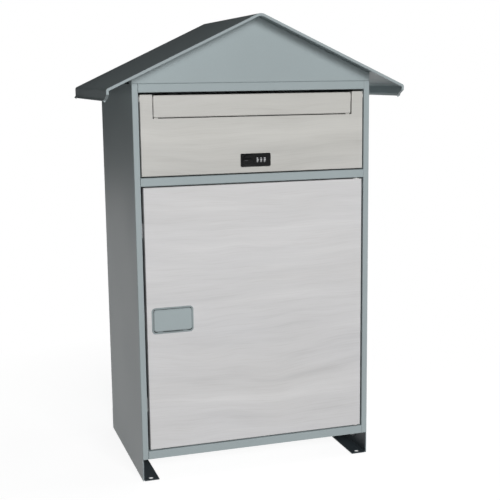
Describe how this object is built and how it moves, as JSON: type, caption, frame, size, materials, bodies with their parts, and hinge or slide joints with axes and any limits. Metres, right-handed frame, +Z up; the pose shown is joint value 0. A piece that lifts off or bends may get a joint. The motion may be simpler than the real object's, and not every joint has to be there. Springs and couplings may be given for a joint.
{
  "type": "parcel drop box",
  "caption": "Free-standing steel parcel drop box with a gabled roof, a lockable letter door with a lifting flap above, and a side-hung parcel door below.",
  "frame": {"origin": "on the ground, in the middle of the roof's outline seen from above", "axes": "+X to the right of somebody facing the doors, +Y from the doors towards the back, +Z up"},
  "size_m": [0.62, 0.4, 0.9414],
  "materials": {
    "grey_paint": "fine-textured grey powder coat",
    "wood_film": "pale wood-grain film on steel, satin",
    "black_paint": "satin black powder coat",
    "black_plastic": "satin moulded",
    "dial_plastic": "gloss moulded",
    "bearing_plastic": "natural acetal",
    "zinc_steel": "bright zinc plate",
    "rubber": "matt",
    "magnet": "sintered, dark"
  },
  "bodies": {
    "box": {"left_side_panel": "grey_paint", "right_side_panel": "grey_paint", "back_panel": "grey_paint", "floor_pan": "grey_paint", "middle_rail": "grey_paint", "shelf": "grey_paint", "top_rail": "grey_paint", "ceiling_panel": "grey_paint", "front_gable": "grey_paint", "rear_gable": "grey_paint", "roof": "grey_paint", "left_foot": "black_paint", "right_foot": "black_paint", "foot_studs": "zinc_steel", "foot_nuts": "zinc_steel", "roof_screws": "zinc_steel", "roof_nuts": "zinc_steel", "back_panel_rivets": "zinc_steel", "door_stops": "zinc_steel", "door_bumpers": "rubber", "magnetic_catch": "black_plastic", "catch_magnet": "magnet", "catch_screws": "zinc_steel", "parcel_door_top_pin": "zinc_steel", "parcel_door_bottom_pin": "zinc_steel", "thrust_washer": "bearing_plastic", "bolt_guide": "zinc_steel", "guide_screws": "zinc_steel", "letter_door_rod": "zinc_steel", "rod_clips": "zinc_steel"},
    "parcel_door": {"parcel_door_panel": "wood_film", "parcel_door_stiffener": "zinc_steel", "parcel_door_bushes": "bearing_plastic", "handle_tray": "grey_paint", "handle_pin": "zinc_steel", "handle_spring": "zinc_steel", "handle_clamp": "zinc_steel", "bolt_keeper": "zinc_steel", "keeper_rivets": "zinc_steel"},
    "handle": {"handle_plate": "grey_paint"},
    "drop_bolt": {"drop_bolt": "zinc_steel", "bolt_knob": "black_plastic"},
    "letter_door": {"letter_door_panel": "wood_film", "letter_door_bushes": "bearing_plastic", "lock_housing": "black_plastic", "dial_shaft": "zinc_steel", "lock_nut": "zinc_steel"},
    "letter_flap": {"letter_flap": "wood_film"},
    "lock_knob": {"lock_knob": "black_plastic", "lock_cam": "zinc_steel", "cam_screw": "zinc_steel"},
    "left_dial": {"left_dial": "dial_plastic"},
    "middle_dial": {"middle_dial": "dial_plastic"},
    "right_dial": {"right_dial": "dial_plastic"}
  },
  "joints": [
    {"name": "parcel_door_hinge", "type": "hinge", "parent": "box", "child": "parcel_door", "pos_m": [0.224, -0.149, 0.3365], "axis": [0, 0, 1], "range_deg": [0, 110]},
    {"name": "handle_pivot", "type": "hinge", "parent": "parcel_door", "child": "handle", "pos_m": [-0.18, -0.1545, 0.357], "axis": [-1, 0, 0], "range_deg": [0, 45], "stiffness_Nm_per_rad": 0.03, "springref_deg": -34.38, "deforming": ["handle_spring"]},
    {"name": "bolt_slide", "type": "slide", "parent": "box", "child": "drop_bolt", "axis": [0, 0, -1], "range_m": [0, 0.017]},
    {"name": "letter_door_hinge", "type": "hinge", "parent": "box", "child": "letter_door", "pos_m": [0, -0.149, 0.779], "axis": [-1, 0, 0], "range_deg": [0, 70]},
    {"name": "letter_flap_hinge", "type": "hinge", "parent": "letter_door", "child": "letter_flap", "pos_m": [0, -0.149, 0.779], "axis": [-1, 0, 0], "range_deg": [0, 50]},
    {"name": "knob_turn", "type": "hinge", "parent": "letter_door", "child": "lock_knob", "pos_m": [-0.018, -0.161, 0.6542], "axis": [0, -1, 0], "range_deg": [0, 90]},
    {"name": "left_dial_turn", "type": "hinge", "parent": "letter_door", "child": "left_dial", "pos_m": [0.002, -0.156, 0.6542], "axis": [1, 0, 0], "continuous": true},
    {"name": "middle_dial_turn", "type": "hinge", "parent": "letter_door", "child": "middle_dial", "pos_m": [0.00965, -0.156, 0.6542], "axis": [1, 0, 0], "continuous": true},
    {"name": "right_dial_turn", "type": "hinge", "parent": "letter_door", "child": "right_dial", "pos_m": [0.0173, -0.156, 0.6542], "axis": [1, 0, 0], "continuous": true}
  ]
}
